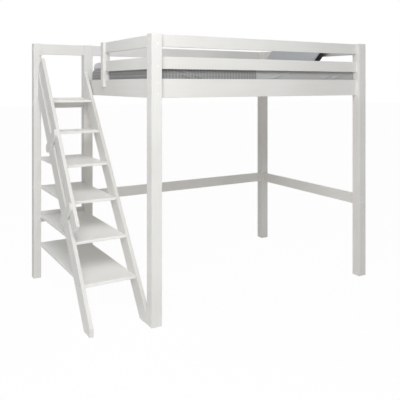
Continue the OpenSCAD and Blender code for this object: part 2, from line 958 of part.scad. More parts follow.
module bracket(along_at) {
    half = bracket_wide / 2;
    bracket_start = (handrail_front_v + stringer_front_v + stringer_wide) / 2
        - bracket_long / 2;
    color(paint)
        difference() {
            on_slope(stringer_left_x - bracket_thick)
                translate([along_at, bracket_start + half, 0])
                    linear_extrude(bracket_thick) {
                        circle(half);
                        translate([-half, 0])
                            square([bracket_wide, bracket_long - bracket_wide]);
                        translate([0, bracket_long - bracket_wide])
                            circle(half);
                    }
            screw_holes(all_bracket_screws, bracket_screw_long);
        }
}

module bracket_high() {
    bracket(bracket_high_at);
}

module bracket_low() {
    bracket(bracket_low_at);
}

// slatted base
module ledge(y, list) {
    color(pine)
        difference() {
            bar_x([ledge_start, y, slat_seat - ledge_high],
                [ledge_end - ledge_start, ledge_wide, ledge_high], edge_ease);
            screw_holes(list, ledge_screw_long);
        }
}

module ledge_front() {
    ledge(rail_inner, ledge_front_screws);
}

module ledge_back() {
    ledge(back_inner - ledge_wide, ledge_back_screws);
}

module centre_beam() {
    start = rail_inner + shoe_plate + beam_end_gap;
    color(pine)
        bar_x([start, (bed_depth - beam_wide) / 2, slat_seat - beam_high],
            [bed_length - 2 * start, beam_wide, beam_high], edge_ease);
}

// a steel shoe for the beam's left end
module shoe() {
    wide = beam_wide + 2 * shoe_plate;
    bottom = slat_seat - beam_high - shoe_plate;
    translate([rail_inner, (bed_depth - wide) / 2, bottom])
        difference() {
            cube([shoe_long, wide, beam_high]);
            translate([shoe_plate, shoe_plate, shoe_plate])
                cube([shoe_long, beam_wide, beam_high]);
        }
}

module beam_shoes() {
    color(steel) {
        difference() {
            shoe();
            screw_holes(shoe_screws_left, shoe_screw_long);
        }
        difference() {
            translate([bed_length, 0, 0])
                mirror([1, 0, 0])
                    shoe();
            screw_holes(shoe_screws_right, shoe_screw_long);
        }
    }
}

module slats() {
    slat_long = back_inner - rail_inner - 2 * slat_end_gap;
    color(pine)
        for (i = [0 : slat_count - 1])
            bar_y([slat_margin + i * slat_step, rail_inner + slat_end_gap, slat_seat],
                [slat_wide, slat_long, slat_thick], edge_ease);
}

module slat_tapes() {
    color(tape_grey)
        for (y = [rail_inner + tape_inset, back_inner - tape_inset - tape_wide])
            translate([slat_margin, y, slat_seat - tape_thick])
                cube([bed_length - 2 * slat_margin, tape_wide, tape_thick]);
}

// soft pieces
arc_steps = 5;
side_steps = 4;

// outline of a soft piece: a rounded rectangle centred on the origin, drawn in by
// inset, its sides bowed inwards by bow; the corners are in order round the piece
function corner_points(cx, cy, r, turn) = [for (i = [0 : arc_steps])
    [cx + r * cos(turn + 90 * i / arc_steps), cy + r * sin(turn + 90 * i / arc_steps)]];
function side_points(a, b, bow, turn) = [for (i = [1 : side_steps - 1])
    let (t = i / side_steps, d = 4 * bow * t * (1 - t))
    a + (b - a) * t + [cos(turn), sin(turn)] * d];
function outline(long, wide, corner, inset, bow) =
    let (r = max(corner - inset, corner / 8),
        x = long / 2 - inset - r, y = wide / 2 - inset - r,
        c0 = corner_points(x, y, r, 0), c1 = corner_points(-x, y, r, 90),
        c2 = corner_points(-x, -y, r, 180), c3 = corner_points(x, -y, r, 270))
    concat(c0, side_points(c0[arc_steps], c1[0], bow, 270),
        c1, side_points(c1[arc_steps], c2[0], bow, 0),
        c2, side_points(c2[arc_steps], c3[0], bow, 90),
        c3, side_points(c3[arc_steps], c0[0], bow, 180));

// a closed soft body through rings, each ring [inset, height], from bottom to top
module ring_stack(long, wide, corner, bow, rings) {
    count = 4 * (arc_steps + side_steps);
    points = [for (g = rings) for (p = outline(long, wide, corner, g[0], bow))
        [p[0], p[1], g[1]]];
    walls = [for (k = [0 : len(rings) - 2]) for (i = [0 : count - 1])
        let (j = (i + 1) % count, a = k * count, b = a + count)
        each [[a + i, b + i, b + j], [a + i, b + j, a + j]]];
    bottom = [for (i = [0 : count - 1]) i];
    top = [for (i = [0 : count - 1]) len(rings) * count - 1 - i];
    polyhedron(points, concat([bottom], walls, [top]), convexity = 4);
}

// rings of a mattress grown on its outside by grow
function mattress_rings(grow) =
    let (e = mattress_edge, t = mattress_top - mattress_bottom, c = mattress_crown)
    concat(
        [for (a = [90 : -30 : 0]) [e - e * cos(a) - grow, e - e * sin(a) - grow]],
        [for (a = [0 : 30 : 90]) [e - e * cos(a) - grow, t - c - e + e * sin(a) + grow]],
        [for (i = [0 : len(crown_insets) - 1])
            [crown_insets[i], t - crown_drops[i] * c + grow]]);

module mattress_body(grow) {
    translate([mattress_left + mattress_long / 2, bed_depth / 2, mattress_bottom])
        ring_stack(mattress_long, mattress_deep, mattress_corner, mattress_bow,
            mattress_rings(grow));
}

module mattress() {
    color(sheet_grey)
        mattress_body(0);
}

module blanket() {
    color(check_grey)
        intersection() {
            difference() {
                mattress_body(blanket_thick + soft_gap);
                mattress_body(soft_gap);
            }
            translate([0, 0, blanket_hem])
                cube([blanket_end, bed_depth, mattress_thick]);
        }
}

// how far in each ring of the duvet lies, and its share of the thickness
duvet_insets = [14, 5, 0, 4, 14, 34, 90, 220, 480];
duvet_shares = [0, 0.1, 0.3, 0.56, 0.76, 0.88, 0.95, 0.98, 1];

module duvet() {
    long = duvet_right - duvet_left;
    wide = bed_depth - 2 * duvet_inset;
    color(duvet_lilac)
        translate([duvet_left + long / 2, bed_depth / 2, blanket_top + soft_gap])
            ring_stack(long, wide, duvet_corner, duvet_bow,
                [for (i = [0 : len(duvet_insets) - 1])
                    [duvet_insets[i], duvet_shares[i] * duvet_thick]]);
}

// pillow rings follow half an ellipse from seam to middle and back
pillow_steps = [0.97, 0.9, 0.78, 0.6, 0.35, 0.12];
function pillow_half(sign) = [for (f = pillow_steps)
    [pillow_a * (1 - f), sign * pillow_b * sqrt(1 - f * f)]];
function reversed(list) = [for (i = [len(list) - 1 : -1 : 0]) list[i]];

module pillow(x, y, drop) {
    translate([x, y, pillow_height - drop])
        rotate([0, -pillow_tilt, 0])
            rotate([0, 0, 90])
                ring_stack(pillow_long, pillow_wide, pillow_corner, pillow_bow,
                    concat(reversed(pillow_half(-1)), [[0, 0]], pillow_half(1)));
}

module pillow_front() {
    color(pillow_blue)
        pillow(pillow_front_x, pillow_front_mid, pillow_front_drop);
}

module pillow_back() {
    color(pillow_dark)
        pillow(pillow_back_x, pillow_back_mid, pillow_back_drop);
}

placed() post_front_left();
placed() post_front_right();
placed() post_back_left();
placed() post_back_right();
placed() post_stair();
placed() side_rail_front();
placed() side_rail_back();
placed() end_rail_left();
placed() end_rail_right();
placed() guard_front_lower();
placed() guard_front_upper();
placed() guard_end_lower();
placed() guard_end_upper();
placed() entry_upright();
placed() top_rail_back();
placed() top_rail_right();
placed() top_rail_stair();
placed() stretcher_back();
placed() stretcher_right();
placed() stair_rail_high();
placed() stair_rail_low();
placed() stringer_left();
placed() stringer_right();
placed() tread_1();
placed() tread_2();
placed() tread_3();
placed() tread_4();
placed() tread_5();
placed() tread_6();
placed() handrail();
placed() bracket_high();
placed() bracket_low();
placed() ledge_front();
placed() ledge_back();
placed() centre_beam();
placed() beam_shoes();
placed() slats();
placed() slat_tapes();
placed() mattress();
placed() blanket();
placed() duvet();
placed() pillow_front();
placed() pillow_back();
placed() post_bolts();
placed() stair_bolts_short();
placed() through_studs();
placed() cross_nuts();
placed() cover_caps();
placed() dowels();
placed() tread_screws();
placed() bracket_screws();
placed() tongue_screws();
placed() ledge_screws();
placed() shoe_screws();
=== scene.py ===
from collections import namedtuple
import math

import bpy
from mathutils import Euler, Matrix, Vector, noise


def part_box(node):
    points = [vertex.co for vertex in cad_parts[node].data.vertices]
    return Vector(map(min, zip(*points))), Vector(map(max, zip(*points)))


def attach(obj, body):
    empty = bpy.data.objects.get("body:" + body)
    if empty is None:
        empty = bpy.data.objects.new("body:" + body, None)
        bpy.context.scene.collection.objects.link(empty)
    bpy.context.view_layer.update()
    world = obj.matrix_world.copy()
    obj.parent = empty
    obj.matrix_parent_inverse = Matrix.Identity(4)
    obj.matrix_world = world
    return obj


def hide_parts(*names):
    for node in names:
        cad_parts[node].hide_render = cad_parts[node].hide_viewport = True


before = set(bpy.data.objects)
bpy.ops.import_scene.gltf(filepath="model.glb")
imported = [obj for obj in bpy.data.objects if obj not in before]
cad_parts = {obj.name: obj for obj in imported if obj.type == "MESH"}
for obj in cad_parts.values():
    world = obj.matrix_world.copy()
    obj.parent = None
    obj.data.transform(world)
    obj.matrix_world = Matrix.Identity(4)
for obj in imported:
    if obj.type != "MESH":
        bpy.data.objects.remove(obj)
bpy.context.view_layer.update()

# lengths are in metres, angles in radians and colours in linear light; a noise scale
# is about how many spots the noise has in a metre

X, Y, Z = range(3)
LOW, HIGH = range(2)

# camera
CAMERA_PLACE = (-2.5436, -4.2791, 1.7303)
CAMERA_TURN = -0.53796
CAMERA_LENS = 49.49
CAMERA_SENSOR = 36.0
CAMERA_SHIFT_UP = -0.2892

# light: each lamp is a name, a place and a power in watts
SKY_SEEN = 1.0
SKY_LIGHT = 0.385
LAMPS = [("key", (-2.2, -3.2, 3.6), 82.0),
         ("high", (-2.4, -3.4, 7.2), 45.0),
         ("low", (-3.0, -3.2, 1.0), 16.0)]
LAMP_AIM = (-0.6, -0.4, 1.1)
LAMP_SIZE = 2.4

# floor
FLOOR_REACH = 40.0
FLOOR_GLOW = 0.97
FLOOR_DARK = (0.9, 0.9, 0.9, 1.0)
FLOOR_LIGHT = (0.92, 0.92, 0.92, 1.0)
FLOOR_CLOUDS = 0.4

# paint: roughness is a pair, from its glossiest to its dullest spots
WHITE = (1.0, 1.0, 1.0, 1.0)
PAINT_LIGHT = (0.83, 0.826, 0.805, 1.0)
PAINT_DARK = (0.785, 0.78, 0.755, 1.0)
PAINT_STREAK = (0.975, 0.975, 0.972, 1.0)
PAINT_ROUGH = (0.36, 0.5)
PAINT_CLOUDS = 1.7
# the treads' paint is lighter than the rest: painted light standing in for the light on the
# tread tops
TREAD_LIT_LIGHT = (0.93, 0.93, 0.915, 1.0)
TREAD_LIT_DARK = (0.91, 0.908, 0.89, 1.0)
TREAD_SCUFF = (0.94, 0.935, 0.92, 1.0)
TREAD_ROUGH = (0.5, 0.65)
TREAD_SHINE = 0.4
SCUFFS = 14.0
STAIR_RUN_PER_RISE = 0.76
SLOPE_TURN = (math.atan(STAIR_RUN_PER_RISE), 0.0, 0.0)

# wood grain, as noise scales along and across the grain
PAINTED_GRAIN = (3.0, 110.0)
PINE_RINGS = (1.6, 34.0)
PINE_FIBRES = (9.0, 420.0)
PINE_LIGHT = (0.78, 0.62, 0.41, 1.0)
PINE_DARK = (0.62, 0.43, 0.24, 1.0)
PINE_SHADE = (0.86, 0.84, 0.8, 1.0)

# metal and plastic
ZINC = (0.62, 0.63, 0.65, 1.0)
ZINC_ROUGH = (0.28, 0.42)
ZINC_CLOUDS = 60.0
BRASS = (0.72, 0.6, 0.36, 1.0)
BRASS_ROUGH = (0.25, 0.4)
BRASS_CLOUDS = 90.0
METAL_SPECKS = 900.0
METAL_SHADE = 0.82
CAP_WHITE = (0.88, 0.877, 0.86, 1.0)
CAP_CLOUDS = 40.0
CAP_SPECKS = 1400.0
CAP_SHADE = 0.95

# cloth colours
SHEET_GREY = (0.585, 0.59, 0.582, 1.0)
CHECK_LIGHT = (0.4, 0.4, 0.4, 1.0)
CHECK_DARK = (0.295, 0.295, 0.295, 1.0)
# how dark the gaps of the check's weave are: painted shade between the threads
CHECK_GAP_PAINTED_SHADE = (0.8, 0.8, 0.8, 1.0)
CHECK_SHARES = (0.64, 0.36)
DUVET_LILAC = (0.8, 0.79, 0.84, 1.0)
PILLOW_BLUE = (0.53, 0.55, 0.565, 1.0)
PILLOW_DARK = (0.05, 0.05, 0.056, 1.0)
TAPE_WHITE = (0.7, 0.7, 0.67, 1.0)
# how dark the weave's low places are: painted shade between the threads
WEAVE_PAINTED_SHADE = 0.84
SLUB_SHADE = (0.92, 0.92, 0.92, 1.0)

# cloth textures
THREAD_PITCH = 0.0016
CHECK_PITCH = 0.027
WAVE_PERIOD = math.pi / 10.0
SLUBS = (60.0, 900.0, 60.0)
FABRIC_SHEEN = 0.25
CHECK_SHEEN = 0.2
SHEEN_ROUGH = 0.5

# nets: the step of a full net and of a coarse one
MATTRESS_STEPS = (0.0085, 0.03)
BLANKET_STEPS = (0.0065, 0.025)
DUVET_STEPS = (0.016, 0.035)
PILLOW_STEPS = (0.009, 0.02)
NEAR_ZERO = 1e-9

# on the flat map, how far the underside lies from the top
UNDERSIDE_AWAY = 3.0

# how a surface faces, as the upward part of its normal
FACING_DOWN = -0.5
FACING_UP = 0.2

# cloth simulation
CLOTH_QUALITY = 6
CLOTH_MASS = 0.2
CLOTH_STRETCH = 15.0
CLOTH_SHEAR = 5.0
CLOTH_BEND = 0.1
SWELL_FRAMES = 16

# places on the frame that the bedding keeps to, and how close it comes to them
GAP_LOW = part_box("side_rail_front")[HIGH][Z]
GAP_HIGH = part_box("guard_front_lower")[LOW][Z]
POST_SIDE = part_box("post_front_right")[LOW][X]
POST_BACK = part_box("post_back_right")[LOW][Y]
LEFT_SPANS = [(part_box("post_front_left")[HIGH][Y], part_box("entry_upright")[LOW][Y]),
              (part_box("entry_upright")[HIGH][Y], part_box("post_back_left")[LOW][Y])]
POST_CLEAR = 0.0012
CORNER_CATCH = 0.0066
SIDE_INSET = 0.007
BULGE = 0.009
BULGE_EASE = 0.04

# mattress
END_EDGE = 0.022
SIDE_EDGE = 0.07
LEFT_CORNER = 0.014
RIGHT_CORNER = 0.018
CROWN = 0.004
CROWN_POWER = 4
TOP_SINK = 0.0015

# blanket
BLANKET_THICK = 0.003
BLANKET_VISIBLE_SHARE = 0.6
BLANKET_LIFT = 0.0006
BLANKET_EASE = 0.002
BLANKET_PROUD = 0.0022
BLANKET_SPREAD = 0.006
BLANKET_TOP_RISE = 0.0004

# duvet
DUVET_SPREAD = 0.004
DUVET_RISE = 0.02
DUVET_EDGES = (0.016, 0.03)
DUVET_CORNERS = (0.025, 0.025)
DUVET_PRESSURE = 3.0
DUVET_SWELL = 0.012
CREASE_TALL = 0.009
CREASE_SHARPNESS = 6
END_SAG = 0.006
SIDE_SAG = 0.01

# pillows: their size and lean, how far each edge draws in between its corners, and how
# full they stay towards the edges
PILLOW_LONG = 0.79
PILLOW_WIDE = 0.292
PILLOW_THICK = 0.092
PILLOW_TILT = math.radians(49.0)
PILLOW_PULL_WIDE = 0.045
PILLOW_PULL_LONG = 0.02
PILLOW_FULL_WIDE = 2.3
PILLOW_FULL_LONG = 3.4
PILLOW_FULL = 0.62
PILLOW_PRESSURE = 5.0
PILLOW_SWELL = 0.008
PINCH_WIDE = 0.05
PINCH_FADE = 8.0
SEAM_RADIUS = 0.0028

# slanting folds on the bed's front: where each line meets its height, along X
FOLD_SLANT = 2.6
FOLD_STEEP = 2.6
FOLD_TALL = 0.0085
BLANKET_FOLDS = [-0.733, -0.64]
BLANKET_FOLD_WIDE = 0.038
SHEET_FOLD_HEIGHT = 1.771
SHEET_FOLDS = [0.285, 0.842, 0.965]
SHEET_FOLD_WIDE = 0.045
SHEET_TAPER = 0.05
GAP_MARGIN = 0.012

# rumples: a height, and how fast noise changes in each of its two directions with
# two coordinates of the cloth
Rumple = namedtuple("Rumple", "tall first second seed")
SIDE_BROAD = Rumple(tall=0.0018, first=(7.0, 0.0), second=(0.0, 0.4), seed=0.0)
SIDE_FINE = Rumple(tall=0.0009, first=(21.0, 0.0), second=(0.0, 1.5), seed=4.0)
SIDE_SLANT = 0.55
SHEET_SIDE_SHARE = 1.4
BLANKET_SIDE_SHARE = 0.6
TOP_BROAD = Rumple(tall=0.0012, first=(9.0, 0.0), second=(0.0, 5.0), seed=2.0)
TOP_SLANTED = Rumple(tall=0.0008, first=(4.0, 14.0), second=(0.0, 0.0), seed=7.0)
DUVET_BROAD = Rumple(tall=0.008, first=(3.1, 0.0), second=(0.0, 2.3), seed=11.0)
DUVET_SLANTED = Rumple(tall=0.007, first=(2.2, 6.5), second=(1.2, 0.0), seed=3.0)
DUVET_CREASE = Rumple(tall=1.0, first=(5.0, 3.0), second=(0.0, 7.0), seed=5.0)
PILLOW_BROAD = Rumple(tall=0.004, first=(9.0, 0.0), second=(0.0, 5.0), seed=0.0)
PILLOW_PINCH = Rumple(tall=0.003, first=(4.0, 0.0), second=(0.0, 26.0), seed=3.0)


# node materials

def feed(tree, socket, value):
    """Links a socket to another node's output, or sets it to a plain value."""
    if isinstance(value, bpy.types.NodeSocket):
        tree.links.new(value, socket)
    else:
        socket.default_value = value


def add_node(tree, kind, settings=None, **inputs):
    """A new node with its settings, and its inputs by name, with _ for each space."""
    made = tree.nodes.new(kind)
    for name, value in (settings or {}).items():
        setattr(made, name, value)
    for name, value in inputs.items():
        feed(tree, made.inputs[name.replace("_", " ")], value)
    return made


def new_material(name, roughness, metallic=0.0):
    """An empty material with its tree and its shader."""
    material = bpy.data.materials.new(name)
    material.use_nodes = True
    tree = material.node_tree
    shader = tree.nodes["Principled BSDF"]
    shader.inputs["Roughness"].default_value = roughness
    shader.inputs["Metallic"].default_value = metallic
    return material, tree, shader


def object_place(tree):
    """Texture coordinates in the object's own metres."""
    return add_node(tree, "ShaderNodeTexCoord").outputs["Object"]


def cloth_place(tree):
    """Texture coordinates in metres on the flat cloth."""
    return add_node(tree, "ShaderNodeUVMap", {"uv_map": "flat"}).outputs["UV"]


def scaled(tree, place, scale, turn=(0.0, 0.0, 0.0)):
    """Coordinates turned first and then scaled."""
    turned = add_node(tree, "ShaderNodeMapping", Vector=place, Rotation=turn)
    return add_node(tree, "ShaderNodeMapping", Vector=turned.outputs["Vector"],
                    Scale=scale).outputs["Vector"]


def noise_of(tree, place, scale=1.0, detail=4.0, rough=0.5):
    """Smooth noise from 0 to 1."""
    made = add_node(tree, "ShaderNodeTexNoise", Vector=place, Scale=scale, Detail=detail,
                    Roughness=rough)
    return made.outputs["Fac"]


def wave_of(tree, place, period, direction):
    """Smooth bands of the given period along direction, from 0 to 1."""
    made = add_node(tree, "ShaderNodeTexWave", {"bands_direction": direction},
                    Vector=place, Scale=WAVE_PERIOD / period)
    return made.outputs["Fac"]


def ramp_of(tree, value, *stops):
    """A colour that eases through stops, each (place, colour), as value goes from 0 to 1."""
    made = add_node(tree, "ShaderNodeValToRGB", Fac=value)
    ramp = made.color_ramp
    ramp.interpolation = "EASE"
    while len(ramp.elements) < len(stops):
        ramp.elements.new(0.5)
    for element, (at, color) in zip(ramp.elements, stops):
        element.position = at
        element.color = color
    return made.outputs["Color"]


def math_of(tree, operation, *values):
    """The result of a Math node on two or three values."""
    made = add_node(tree, "ShaderNodeMath", {"operation": operation})
    for socket, value in zip(made.inputs, values):
        feed(tree, socket, value)
    return made.outputs["Value"]


def ranged(tree, value, low, high):
    """A value from 0 to 1 moved to the range from low to high."""
    made = add_node(tree, "ShaderNodeMapRange", Value=value, To_Min=low, To_Max=high)
    return made.outputs["Result"]


def multiplied(tree, first, second):
    """The product of two colours."""
    made = add_node(tree, "ShaderNodeMix", {"data_type": "RGBA", "blend_type": "MULTIPLY"})
    named = {socket.identifier: socket for socket in made.inputs}
    feed(tree, named["Factor_Float"], 1.0)
    feed(tree, named["A_Color"], first)
    feed(tree, named["B_Color"], second)
    return next(socket for socket in made.outputs if socket.identifier == "Result_Color")


def add_bump(tree, shader, height, strength, distance):
    """Gives a shader a bump from a height."""
    bump = add_node(tree, "ShaderNodeBump", Height=height, Strength=strength,
                    Distance=distance)
    feed(tree, shader.inputs["Normal"], bump.outputs["Normal"])


def along_axis(axis, scales):
    """Texture scales, the first along one axis and the second across it."""
    along, across = scales
    return tuple(along if i == axis else across for i in range(3))


def darkened(color, share):
    """A colour times share."""
    return tuple(share * level for level in color[:3]) + (1.0,)


def paint(name, axis, turn=(0.0, 0.0, 0.0), scuffed_and_lit=False):
    """Satin white paint over wood whose grain runs along an axis; treads are worn, and lighter
    as painted light on their tops.
    """
    rough = TREAD_ROUGH if scuffed_and_lit else PAINT_ROUGH
    # treads take lighter tones of the same paint, as painted light on their tops
    dark, light = (TREAD_LIT_DARK, TREAD_LIT_LIGHT) if scuffed_and_lit else (PAINT_DARK, PAINT_LIGHT)
    material, tree, shader = new_material(name, roughness=rough[LOW])
    place = object_place(tree)
    grain_place = scaled(tree, place, along_axis(axis, PAINTED_GRAIN), turn)
    grain = noise_of(tree, grain_place, detail=5.0, rough=0.62)
    tone = noise_of(tree, place, PAINT_CLOUDS, detail=3.0)
    color = ramp_of(tree, tone, (0.3, dark), (0.7, light))
    streaks = ramp_of(tree, grain, (0.3, PAINT_STREAK), (0.6, WHITE))
    color = multiplied(tree, color, streaks)
    if scuffed_and_lit:
        wear = noise_of(tree, place, SCUFFS, detail=8.0, rough=0.7)
        marks = ramp_of(tree, wear, (0.58, WHITE), (0.78, TREAD_SCUFF))
        color = multiplied(tree, color, marks)
        shader.inputs["Specular IOR Level"].default_value = TREAD_SHINE
    feed(tree, shader.inputs["Base Color"], color)
    feed(tree, shader.inputs["Roughness"], ranged(tree, tone, *rough))
    add_bump(tree, shader, grain, strength=0.2, distance=0.0005)
    return material


def pine(name, axis):
    """Planed pine whose grain runs along an axis."""
    material, tree, shader = new_material(name, roughness=0.6)
    place = object_place(tree)
    broad = noise_of(tree, scaled(tree, place, along_axis(axis, PINE_RINGS)), rough=0.6)
    fibre = noise_of(tree, scaled(tree, place, along_axis(axis, PINE_FIBRES)), detail=3.0)
    rings = ramp_of(tree, broad, (0.34, PINE_DARK), (0.47, PINE_LIGHT),
                    (0.52, PINE_DARK), (0.62, PINE_LIGHT))
    shade = ramp_of(tree, fibre, (0.2, PINE_SHADE), (0.6, WHITE))
    feed(tree, shader.inputs["Base Color"], multiplied(tree, rings, shade))
    add_bump(tree, shader, fibre, strength=0.4, distance=0.0004)
    return material


def metal(name, color, rough, clouds):
    """Plated or turned metal with faint cloudy gloss."""
    material, tree, shader = new_material(name, roughness=rough[LOW], metallic=1.0)
    place = object_place(tree)
    cloud = noise_of(tree, place, clouds)
    tone = ramp_of(tree, cloud, (0.35, darkened(color, METAL_SHADE)), (0.65, color))
    feed(tree, shader.inputs["Base Color"], tone)
    feed(tree, shader.inputs["Roughness"], ranged(tree, cloud, *rough))
    specks = noise_of(tree, place, METAL_SPECKS, detail=2.0)
    add_bump(tree, shader, specks, strength=0.3, distance=0.0001)
    return material


def plastic(name, color):
    """Moulded matt plastic with a fine grain."""
    material, tree, shader = new_material(name, roughness=0.5)
    place = object_place(tree)
    cloud = noise_of(tree, place, CAP_CLOUDS)
    tone = ramp_of(tree, cloud, (0.4, darkened(color, CAP_SHADE)), (0.6, color))
    feed(tree, shader.inputs["Base Color"], tone)
    specks = noise_of(tree, place, CAP_SPECKS, detail=2.0)
    add_bump(tree, shader, specks, strength=0.4, distance=0.0001)
    return material


def weave_height(tree, place):
    """Height of a plain weave, from crossed bands."""
    warp = wave_of(tree, place, THREAD_PITCH, "X")
    weft = wave_of(tree, place, THREAD_PITCH, "Y")
    return math_of(tree, "ABSOLUTE", math_of(tree, "SUBTRACT", warp, weft))


def fabric(name, color, place_of=cloth_place):
    """Plain woven cloth with a few thicker threads, darker in the weave's low places as
    painted shade between the threads.
    """
    material, tree, shader = new_material(name, roughness=0.85)
    shader.inputs["Sheen Weight"].default_value = FABRIC_SHEEN
    shader.inputs["Sheen Roughness"].default_value = SHEEN_ROUGH
    place = place_of(tree)
    height = weave_height(tree, place)
    slub = noise_of(tree, scaled(tree, place, SLUBS), detail=3.0)
    # the weave's low places are darkened: painted shade between the threads
    thread_shade = ramp_of(tree, height, (0.0, darkened(color, WEAVE_PAINTED_SHADE)), (0.6, color))
    uneven = ramp_of(tree, slub, (0.3, SLUB_SHADE), (0.7, WHITE))
    feed(tree, shader.inputs["Base Color"], multiplied(tree, thread_shade, uneven))
    add_bump(tree, shader, height, strength=0.5, distance=0.0003)
    return material


def check_fabric(name):
    """Fine woven check: bands of dark yarn each way, darkest where they cross; the weave's
    gaps are darker as painted shade between the threads.
    """
    material, tree, shader = new_material(name, roughness=0.9)
    shader.inputs["Sheen Weight"].default_value = CHECK_SHEEN
    place = cloth_place(tree)
    bands = []
    for direction, share in zip(("X", "Y"), CHECK_SHARES):
        wave = wave_of(tree, place, CHECK_PITCH, direction)
        band = math_of(tree, "GREATER_THAN", wave, 0.5)
        bands.append(math_of(tree, "MULTIPLY", band, share))
    color = ramp_of(tree, math_of(tree, "ADD", *bands), (0.0, CHECK_LIGHT), (1.0, CHECK_DARK))
    height = weave_height(tree, place)
    # the weave's gaps are darkened: painted shade between the threads
    thread_shade = ramp_of(tree, height, (0.0, CHECK_GAP_PAINTED_SHADE), (0.6, WHITE))
    feed(tree, shader.inputs["Base Color"], multiplied(tree, color, thread_shade))
    add_bump(tree, shader, height, strength=0.6, distance=0.0004)
    return material


# shapes

def net_step(steps):
    """The step of a full net; the coarse step is not used."""
    return steps[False]


def clamped(value):
    """A value kept between 0 and 1."""
    return min(max(value, 0.0), 1.0)


def share_of(value, low, high):
    """How far value is on its way from low to high."""
    return (value - low) / (high - low)


def box_skin(low, high, step, leave_out=()):
    """The surface of a box as an even net: points, and quads with the side each is on.
    A side is (axis, whether it is the high one)."""
    counts = [max(2, round((high[a] - low[a]) / step)) for a in range(3)]
    points = []
    quads = []
    index = {}

    def corner(key):
        """The number of the point that lies key steps along the three axes."""
        if key not in index:
            index[key] = len(points)
            points.append(Vector([low[a] + (high[a] - low[a]) * key[a] / counts[a]
                                  for a in range(3)]))
        return index[key]

    for axis in range(3):
        u, v = (axis + 1) % 3, (axis + 2) % 3
        for end in (0, counts[axis]):
            side = (axis, end > 0)
            if side in leave_out:
                continue
            for i in range(counts[u]):
                for j in range(counts[v]):
                    ring = []
                    for di, dj in ((0, 0), (1, 0), (1, 1), (0, 1)):
                        key = [0, 0, 0]
                        key[axis], key[u], key[v] = end, i + di, j + dj
                        ring.append(corner(tuple(key)))
                    quads.append((ring if end else ring[::-1], side))
    return points, quads


def flat_place(point, side, low, high):
    """Where a point of the net lies on the cloth before it was bent down over the edges."""
    axis, is_high = side
    drop = high[Z] - point[Z]
    if axis == Z:
        return point[X], point[Y] + (0.0 if is_high else UNDERSIDE_AWAY)
    edge = high[axis] + drop if is_high else low[axis] - drop
    return (edge, point[Y]) if axis == X else (point[X], edge)


def mesh_piece(name, points, quads, low, high, material):
    """A mesh object whose UV map 'flat' is the cloth's flat size in metres."""
    mesh = bpy.data.meshes.new(name)
    mesh.from_pydata([tuple(point) for point in points], [], [ring for ring, _ in quads])
    layer = mesh.uv_layers.new(name="flat")
    for polygon, (ring, side) in zip(mesh.polygons, quads):
        for loop, vertex in zip(polygon.loop_indices, ring):
            layer.data[loop].uv = flat_place(points[vertex], side, low, high)
        polygon.use_smooth = True
    mesh.materials.append(material)
    piece = bpy.data.objects.new(name, mesh)
    bpy.context.scene.collection.objects.link(piece)
    return piece


def rounded(point, low, high, radius, axes):
    """Pulls the corners of a box in to a radius, over the given axes."""
    inner = [min(max(point[a], low[a] + radius), high[a] - radius) for a in range(3)]
    away = [point[a] - inner[a] if a in axes else 0.0 for a in range(3)]
    longest = max(abs(part) for part in away)
    length = math.sqrt(sum(part * part for part in away))
    if length < NEAR_ZERO:
        return Vector(point)
    share = longest / length
    return Vector([inner[a] + away[a] * share if a in axes else point[a] for a in range(3)])


def bed_corners(point, low, high, edges, corners):
    """Rounds a block's edges at its ends and along its sides to two radii, and its upright
    corners at the left and at the right to two more."""
    at_left = point[X] < (low[X] + high[X]) / 2.0
    place = rounded(point, low, high, edges[0], (X, Z))
    place = rounded(place, low, high, edges[1], (Y, Z))
    return rounded(place, low, high, corners[0] if at_left else corners[1], (X, Y))


def bed_block(point, low, high):
    """A point of a box moved to the mattress's shape: rounded all over, its top crowned."""
    place = bed_corners(point, low, high, (END_EDGE, SIDE_EDGE), (LEFT_CORNER, RIGHT_CORNER))
    u = 2.0 * share_of(place[X], low[X], high[X]) - 1.0
    v = 2.0 * share_of(place[Y], low[Y], high[Y]) - 1.0
    lift = share_of(place[Z], low[Z], high[Z])
    place[Z] -= CROWN * lift * (1.0 - (1.0 - u ** CROWN_POWER) * (1.0 - v ** CROWN_POWER))
    return place


def narrowed(low, high, inset):
    """A box made narrower by inset on either side."""
    return (low[X], low[Y] + inset, low[Z]), (high[X], high[Y] - inset, high[Z])


def beside_posts(place):
    """Keeps the mattress's right corners out of the posts they are pressed against, with
    the net's nearest line in the corner of each notch."""
    inward = place[X] - (POST_SIDE - POST_CLEAR)
    sideways = abs(place[Y]) - (POST_BACK - POST_CLEAR)
    if inward <= 0.0 or sideways <= 0.0:
        return place
    if inward < sideways + CORNER_CATCH:
        place[X] = POST_SIDE - POST_CLEAR
    if sideways < inward + CORNER_CATCH:
        place[Y] = math.copysign(POST_BACK - POST_CLEAR, place[Y])
    return place


def end_bulge(place, low):
    """How far bedding swells past the bed's left end, between the posts and the upright."""
    near = 1.0 - clamped((place[X] - low[X]) / END_EDGE)
    for start, end in LEFT_SPANS:
        if start < place[Y] < end:
            ease = min(1.0, min(place[Y] - start, end - place[Y]) / BULGE_EASE)
            return BULGE * near * ease * ease * (3.0 - 2.0 * ease)
    return 0.0


def bed_sag(place, low, high):
    """How far the mattress's top lies below its highest level at a place."""
    inward = min(place[X] - low[X], high[X] - place[X])
    sideways = min(place[Y] - low[Y], high[Y] - place[Y])
    ends = END_SAG * math.exp(-max(inward, 0.0) / END_EDGE)
    sides = SIDE_SAG * math.exp(-max(sideways, 0.0) / SIDE_EDGE)
    return ends + sides


def hill(value, middle, width):
    """A smooth bump of height 1."""
    return math.exp(-((value - middle) / width) ** 2)


def tuck(rise, width):
    """A fold of height 1 that falls gently on its upper side and sharply on its lower."""
    away = rise / width if rise > 0.0 else FOLD_STEEP * rise / width
    return math.exp(-away * away)


